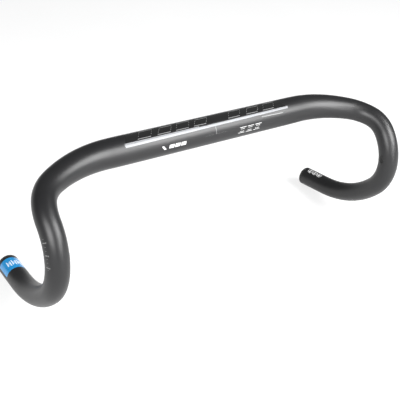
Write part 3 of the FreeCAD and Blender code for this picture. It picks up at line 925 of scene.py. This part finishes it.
class HANDLEBAR_OT_top_prints(bpy.types.Operator):
    """The stripe, gloss band and marks printed along the straight top; the stripe's light grey is
    partly painted highlight
    """

    bl_idname = "handlebar.top_prints"
    bl_label = "Prints on the top"

    def execute(self, context):
        s = settings()
        degrees = math.radians
        # Painted highlight: the stripe lies where the highlight band runs along the top, and its
        # light grey is partly that highlight painted in.
        stripe = Decal("stripe", s.film_lift)
        stripe.patch([(-0.112, degrees(38.5)), (0.104, degrees(45.5)),
                      (0.105, degrees(55.5)), (-0.113, degrees(49.5))])
        stripe.patch([(-0.111, degrees(50.6)), (-0.020, degrees(53.0)),
                      (-0.020, degrees(55.8)), (-0.113, degrees(54.6))])
        finish_piece(stripe.build(), paint_stripe_and_highlight(), "stripe", "bar",
                     "stripe_film_left", "stripe_film_right")
        gloss = Decal("gloss_band", s.film_lift)
        gloss.patch([(-0.111, degrees(56.6)), (0.102, degrees(56.6)),
                     (0.096, degrees(112.0)), (-0.105, degrees(112.0))])
        finish_piece(gloss.build(), paint_gloss(), "gloss_print", "bar",
                     "gloss_film_left", "gloss_film_right")
        ghost = Decal("ghost_outlines", s.print_lift)
        wide, lean, stroke = 0.016, 0.007, 0.0008
        for k, at in enumerate((-0.096, -0.072, -0.049, -0.026, 0.020, 0.045, 0.069)):
            low, high = degrees(60.0), degrees(100.0 - 4.0 * (k % 2))
            ghost.outline([(at, low), (at + wide, low), (at + wide + lean, high),
                           (at + lean, high)], stroke)
        grey_ink = paint_ink("ink_ghost_grey", grey(0.11), grey(0.20), 0.06)
        finish_piece(ghost.build(), grey_ink, "gloss_print", "bar")
        self.solid_mark(s)
        self.open_mark(s)
        self.rule(s)
        return {"FINISHED"}

    def solid_mark(self, s):
        """A slanted wedge and three solid blocks."""
        centre = (-0.055, math.radians(4.0))
        mark = Decal("solid_mark", s.print_lift)
        mark.patch([(-0.0155, 0.0020), (-0.0125, -0.0022), (-0.0095, -0.0022), (-0.0130, 0.0020)],
                   centre)
        for start in (-0.0065, 0.0010, 0.0085):
            mark.patch([(start, -0.0020), (start + 0.0062, -0.0020),
                        (start + 0.0070, 0.0020), (start + 0.0008, 0.0020)], centre)
        white = paint_ink("ink_white", shade(s.print_colour, 0.58), shade(s.print_colour, 0.78))
        finish_piece(mark.build(), white, "mark_print", "bar", "solid_mark_film")

    def open_mark(self, s):
        """Three slanted outlined tiles with a dark heart."""
        centre = (0.0465, math.radians(-0.5))
        mark = Decal("open_mark", s.print_lift)
        fill = Decal("open_mark_heart", s.film_lift)
        for start in (-0.0160, -0.0052, 0.0056):
            tile = [(start, -0.0036), (start + 0.0088, -0.0036),
                    (start + 0.0108, 0.0036), (start + 0.0020, 0.0036)]
            mark.outline(tile, 0.00055, centre)
            mark.outline([(a * 0.55 + 0.45 * (start + 0.0054), b * 0.5) for a, b in tile],
                         0.0004, centre)
            fill.patch(tile, centre)
        white = paint_ink("ink_white_outline", shade(s.print_colour, 0.63),
                          shade(s.print_colour, 0.90))
        dark = paint_ink("ink_black", grey(0.008), grey(0.016), 0.03)
        finish_piece(mark.build(), white, "mark_print", "bar", "open_mark_film")
        finish_piece(fill.build(), dark, "gloss_print", "bar")
        strip = Decal("tail_strip", s.print_lift)
        at = math.radians(38.5)
        strip.patch([(0.064, at - 0.04), (0.096, at - 0.10), (0.101, at + 0.04),
                     (0.068, at + 0.08)])
        finish_piece(strip.build(), dark, "gloss_print", "bar")
        edge = Decal("tail_strip_edge", s.print_lift)
        edge.patch([(0.064, at - 0.075), (0.094, at - 0.135), (0.096, at - 0.10),
                    (0.064, at - 0.045)])
        finish_piece(edge.build(), paint_ink("ink_grey", grey(0.16), grey(0.26)), "gloss_print",
                     "bar")

    def rule(self, s):
        """Centre line and the fine scale that sets the bar in its stem."""
        degrees = math.radians
        rule = Decal("centre_rule", s.print_lift)
        low, high = degrees(9.5), degrees(40.0)
        line_half, tick_half, pitch = 0.0003, 0.00014, 0.002
        rule.patch([(-line_half, low), (line_half, low), (line_half, high), (-line_half, high)])
        for k in range(-7, 8):
            at = k * pitch
            top = degrees(9.5 + (3.6 if k % 5 == 0 else 2.0))
            rule.patch([(at - tick_half, low), (at + tick_half, low),
                        (at + tick_half, top), (at - tick_half, top)])
        finish_piece(rule.build(), paint_ink("ink_rule", grey(0.12), grey(0.20)), "scale_print",
                     "bar")


class HANDLEBAR_OT_hook_prints(bpy.types.Operator):
    """Lever scales on the hooks, the blue label and the small marks by the drop ends"""

    bl_idname = "handlebar.hook_prints"
    bl_label = "Prints on the hooks"

    def execute(self, context):
        s = settings()
        tube = line()
        ink = paint_ink("ink_scale", grey(0.14), grey(0.22))
        first_tick, tick_pitch = 0.2665, 0.0036
        for side, sign in SIDES:
            scale = Decal("lever_scale_marks_" + side, s.print_lift + 0.00008)
            outer_front = np.array([sign * 0.91, -0.37, 0.17])
            for far in (0.270, 0.2815, 0.293):
                at = sign * far
                centre = (at, tube.facing(at, outer_front))
                scale.patch([(-0.00035, -0.0004), (0.00035, -0.0004),
                             (0.00035, 0.0030), (-0.00035, 0.0030)], centre)
                scale.ring(0.0, -0.0014, 0.0006, 0.0003, centre, steps=20)
            for k in range(9):
                at = sign * (first_tick + tick_pitch * k)
                centre = (at, tube.facing(at, outer_front))
                scale.patch([(-0.00015, 0.0), (0.00015, 0.0), (0.00015, 0.0012),
                             (-0.00015, 0.0012)], centre)
            finish_piece(scale.build(), ink, "scale_print", "bar", "lever_scale_" + side)
        self.blue_label(s, tube)
        self.end_marks(s, tube)
        return {"FINISHED"}

    def blue_label(self, s, tube):
        stop = -(tube.end - 0.004)
        start = -(tube.end - 0.027)
        middle = (start + stop) / 2
        top = tube.facing(middle, np.array([0.10, 0.0, 1.0]))
        spread = math.radians(84)
        label = Decal("end_label", s.film_lift)
        label.patch([(start, top - spread), (stop, top - spread), (stop, top + spread),
                     (start, top + spread)])
        finish_piece(label.build(), paint_label(), "blue_label", "bar", "end_label_film")
        prints = Decal("end_label_pattern", s.print_lift)
        centre = (middle, top)
        for k in range(3):
            arc = (k - 1) * 0.0058
            tile = [(-0.0055, arc - 0.0022), (0.0040, arc - 0.0022), (0.0055, arc + 0.0022),
                    (-0.0040, arc + 0.0022)]
            prints.outline(tile, 0.0009, centre)
            prints.outline([(a * 0.5, (b - arc) * 0.4 + arc) for a, b in tile], 0.0004, centre)
        pale = paint_ink("ink_label_white", colour(0.62, 0.72, 0.82), colour(0.86, 0.92, 0.97))
        finish_piece(prints.build(), pale, "mark_print", "bar")

    def end_marks(self, s, tube):
        far = tube.end - 0.017
        top = tube.facing(far, np.array([-0.12, -0.05, 1.0]))
        marks = Decal("end_marks", s.print_lift)
        centre = (far, top)
        for k in range(3):
            at = 0.0075 - 0.0085 * k
            marks.ring(at, 0.0008, 0.0040, 0.0007, centre, squash=0.9)
            marks.patch([(at - 0.0010, -0.0012), (at + 0.0008, -0.0012), (at + 0.0014, 0.0028),
                         (at - 0.0004, 0.0028)], centre)
        white = paint_ink("ink_white_end", shade(s.print_colour, 0.75), shade(s.print_colour, 1.0))
        finish_piece(marks.build(), white, "mark_print", "bar", "end_mark_film")


class HANDLEBAR_OT_end_plugs(bpy.types.Operator):
    """Caps, washers, screws, expanding sleeves and wedge nuts of both drop ends"""

    bl_idname = "handlebar.end_plugs"
    bl_label = "End plugs"

    def execute(self, context):
        s = settings()
        nylon = paint_plastic()
        steel = paint_steel()
        rubber = paint_rubber("sleeve_rubber", 0.42, 1.0, 0.62, 1100.0, 0.00012)
        turned = paint_turned()
        for side, sign in SIDES:
            place = end_place(sign)
            self.cap(side, place, nylon, s)
            self.washer(side, place, steel)
            self.screw(side, place, steel, s)
            self.sleeve(side, place, rubber)
            self.wedge(side, place, turned)
        return {"FINISHED"}

    def cap(self, side, place, material, s):
        rim = s.grip_radius
        face = 0.0027
        soft = 0.0006
        hole, spigot, groove, back = 0.00265, 0.0102, 0.00995, -0.006
        profile = [(hole, back), (0.0098, back), (spigot, -0.0056)]
        for k in range(3):
            low = -0.0049 + 0.0015 * k
            profile += [(spigot, low), (groove, low + 0.0002), (groove, low + 0.0006),
                        (spigot, low + 0.0008)]
        profile += [(spigot, 0.0003), (rim - 0.0002, 0.0003), (rim, 0.0005)]
        profile += rounded(rim - soft, face - soft, soft, 0, 90)
        profile += [(0.0098, face), (0.0096, face - 0.00025), (0.0091, face - 0.00025),
                    (0.0089, face)]
        profile += rounded(0.0050, face - 0.0003, 0.0003, 90, 180, 4)
        profile += [(0.0047, 0.0003), (hole, 0.0003)]
        obj = lathe("cap_" + side, profile, place, 128)
        finish_piece(obj, material, "cap_plastic", "plug_" + side, "end_cap_" + side)

    def washer(self, side, place, material):
        low, high = 0.0003, 0.0008
        hole, rim, chamfer = 0.00265, 0.0044, 0.0001
        profile = [(hole, low), (0.0043, low), (rim, low + chamfer), (rim, high - chamfer),
                   (0.0043, high), (hole, high)]
        obj = lathe("washer_" + side, profile, place, 64)
        finish_piece(obj, material, "steel", "plug_" + side, "cap_washer_" + side)

    def screw(self, side, place, material, s):
        under = 0.00085
        top = under + 0.0017
        flat = 0.0015
        crest, depth = 0.0025, 0.00042
        tip, thread_end = -0.0319, -0.0062

        def hexagon(share):
            def reach(a):
                step = math.pi / 3
                return share * flat / math.cos((a % step) - step / 2)
            return reach

        def thread(height):
            def reach(a):
                phase = (height / s.thread_pitch - a / (2 * math.pi)) % 1.0
                return crest - depth * abs(2 * phase - 1)
            return reach

        profile = [(0.0004, -0.0325), (0.0018, -0.0325)]
        count = 190
        for k in range(count + 1):
            height = tip + (thread_end - tip) * k / count
            profile.append((thread(height), height))
        profile += [(crest, -0.0060), (crest, under), (0.0041, under), (0.0042, under + 0.0001)]
        profile += rounded(0.0042 - 0.0005, top - 0.0005, 0.0005, 0, 90)
        profile += [(hexagon(1.16), top), (hexagon(1.0), top - 0.0003),
                    (hexagon(1.0), top - 0.0012), (hexagon(0.5), top - 0.0014),
                    (0.0004, top - 0.0015)]
        obj = lathe("screw_" + side, profile, place, 72)
        finish_piece(obj, material, "steel", "screw_" + side, "cap_screw_" + side)

    def sleeve(self, side, place, material):
        out, bore, groove = 0.0102, 0.0036, 0.0004
        profile = [(bore, -0.0150), (0.0087, -0.0240), (0.0099, -0.0240), (out, -0.0237)]
        for k in range(6):
            low = -0.0226 + 0.0027 * k
            profile += [(out, low), (out - groove, low + 0.0003), (out - groove, low + 0.0010),
                        (out, low + 0.0013)]
        profile += [(out, -0.0066), (0.0099, -0.0063), (bore, -0.0063)]
        slit_half, slit_radius = 0.0007, 0.0080
        slit = slit_half / slit_radius
        obj = lathe("sleeve_" + side, profile, place, 110, arc=(slit, 2 * math.pi - slit))
        finish_piece(obj, material, "sleeve_rubber", "plug_" + side, "expander_sleeve_" + side)

    def wedge(self, side, place, material):
        profile = [(0.00255, -0.0285), (0.0095, -0.0285), (0.0098, -0.0282), (0.0098, -0.0263),
                   (0.0097, -0.0259), (0.0045, -0.0167), (0.0043, -0.0165), (0.00255, -0.0165)]
        obj = lathe("wedge_" + side, profile, place, 96)
        finish_piece(obj, material, "wedge_metal", "wedge_" + side, "wedge_nut_" + side)


class HANDLEBAR_OT_stage(bpy.types.Operator):
    """Pale floor, softboxes and the camera"""

    bl_idname = "handlebar.stage"
    bl_label = "Stage"

    LIGHTS = (
        # name, place, target, width, height, power
        ("key", (0.72, -1.00, 0.84), (0.0, -0.02, -0.03), 0.9, 0.95, 46.0),
        ("camera_side", (-1.08, -0.92, 0.66), (0.10, -0.04, -0.02), 0.9, 0.8, 30.0),
        ("low_front", (0.30, -1.38, 0.26), (-0.05, -0.04, -0.08), 0.6, 0.45, 8.0),
    )

    def execute(self, context):
        s = settings()
        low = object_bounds()[0]
        mesh = bpy.data.meshes.new("floor")
        reach = 25.0
        gap = 0.001
        z = low.z - gap
        corners = [(-reach, -reach, z), (reach, -reach, z), (reach, reach, z), (-reach, reach, z)]
        mesh.from_pydata(corners, [], [(0, 1, 2, 3)])
        mesh.materials.append(paint_floor())
        floor = bpy.data.objects.new("floor", mesh)
        bpy.context.scene.collection.objects.link(floor)
        floor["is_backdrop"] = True
        for name, place, target, width, height, power in self.LIGHTS:
            data = bpy.data.lights.new(name, "AREA")
            data.shape = "RECTANGLE"
            data.size = width
            data.size_y = height
            data.energy = power
            lamp = bpy.data.objects.new(name, data)
            lamp.location = place
            aim = Vector(target) - Vector(place)
            lamp.rotation_euler = aim.to_track_quat("-Z", "Y").to_euler()
            bpy.context.scene.collection.objects.link(lamp)
        self.world()
        self.camera(s)
        return {"FINISHED"}

    def world(self):
        world = bpy.data.worlds.new("studio")
        world.use_nodes = True
        sky = next(n for n in world.node_tree.nodes if n.type == "BACKGROUND")
        sky.inputs["Color"].default_value = (0.96, 0.98, 1.0, 1.0)
        sky.inputs["Strength"].default_value = 0.20
        bpy.context.scene.world = world
        bpy.context.scene.view_settings.view_transform = "Standard"

    def camera(self, s):
        data = bpy.data.cameras.new("camera")
        data.lens = s.lens
        data.sensor_width = 36.0
        data.clip_start = 0.01
        data.clip_end = 50.0
        camera = bpy.data.objects.new("camera", data)
        camera.location = s.camera_place
        camera.rotation_euler = Euler(s.camera_turn, "XYZ")
        bpy.context.scene.collection.objects.link(camera)
        bpy.context.scene.camera = camera


class HANDLEBAR_PT_panel(bpy.types.Panel):
    """Sizes of the bar and the buttons that build its pieces"""

    bl_idname = "HANDLEBAR_PT_panel"
    bl_label = "Drop Handlebar"
    bl_space_type = "VIEW_3D"
    bl_region_type = "UI"
    bl_category = "Handlebar"

    def draw(self, context):
        layout = self.layout
        group = context.scene.handlebar
        for name in HandlebarSettings.__annotations__:
            layout.prop(group, name)
        for operator in OPERATORS:
            layout.operator(operator.bl_idname)


OPERATORS = (
    HANDLEBAR_OT_tube,
    HANDLEBAR_OT_port_plugs,
    HANDLEBAR_OT_top_prints,
    HANDLEBAR_OT_hook_prints,
    HANDLEBAR_OT_end_plugs,
    HANDLEBAR_OT_stage,
)


def register():
    bpy.utils.register_class(HandlebarSettings)
    for operator in OPERATORS:
        bpy.utils.register_class(operator)
    bpy.utils.register_class(HANDLEBAR_PT_panel)
    bpy.types.Scene.handlebar = PointerProperty(type=HandlebarSettings)


def unregister():
    del bpy.types.Scene.handlebar
    bpy.utils.unregister_class(HANDLEBAR_PT_panel)
    for operator in reversed(OPERATORS):
        bpy.utils.unregister_class(operator)
    bpy.utils.unregister_class(HandlebarSettings)


def main():
    register()
    bpy.ops.handlebar.tube()
    bpy.ops.handlebar.port_plugs()
    bpy.ops.handlebar.top_prints()
    bpy.ops.handlebar.hook_prints()
    bpy.ops.handlebar.end_plugs()
    bpy.ops.handlebar.stage()


if __name__ == "__main__":
    main()
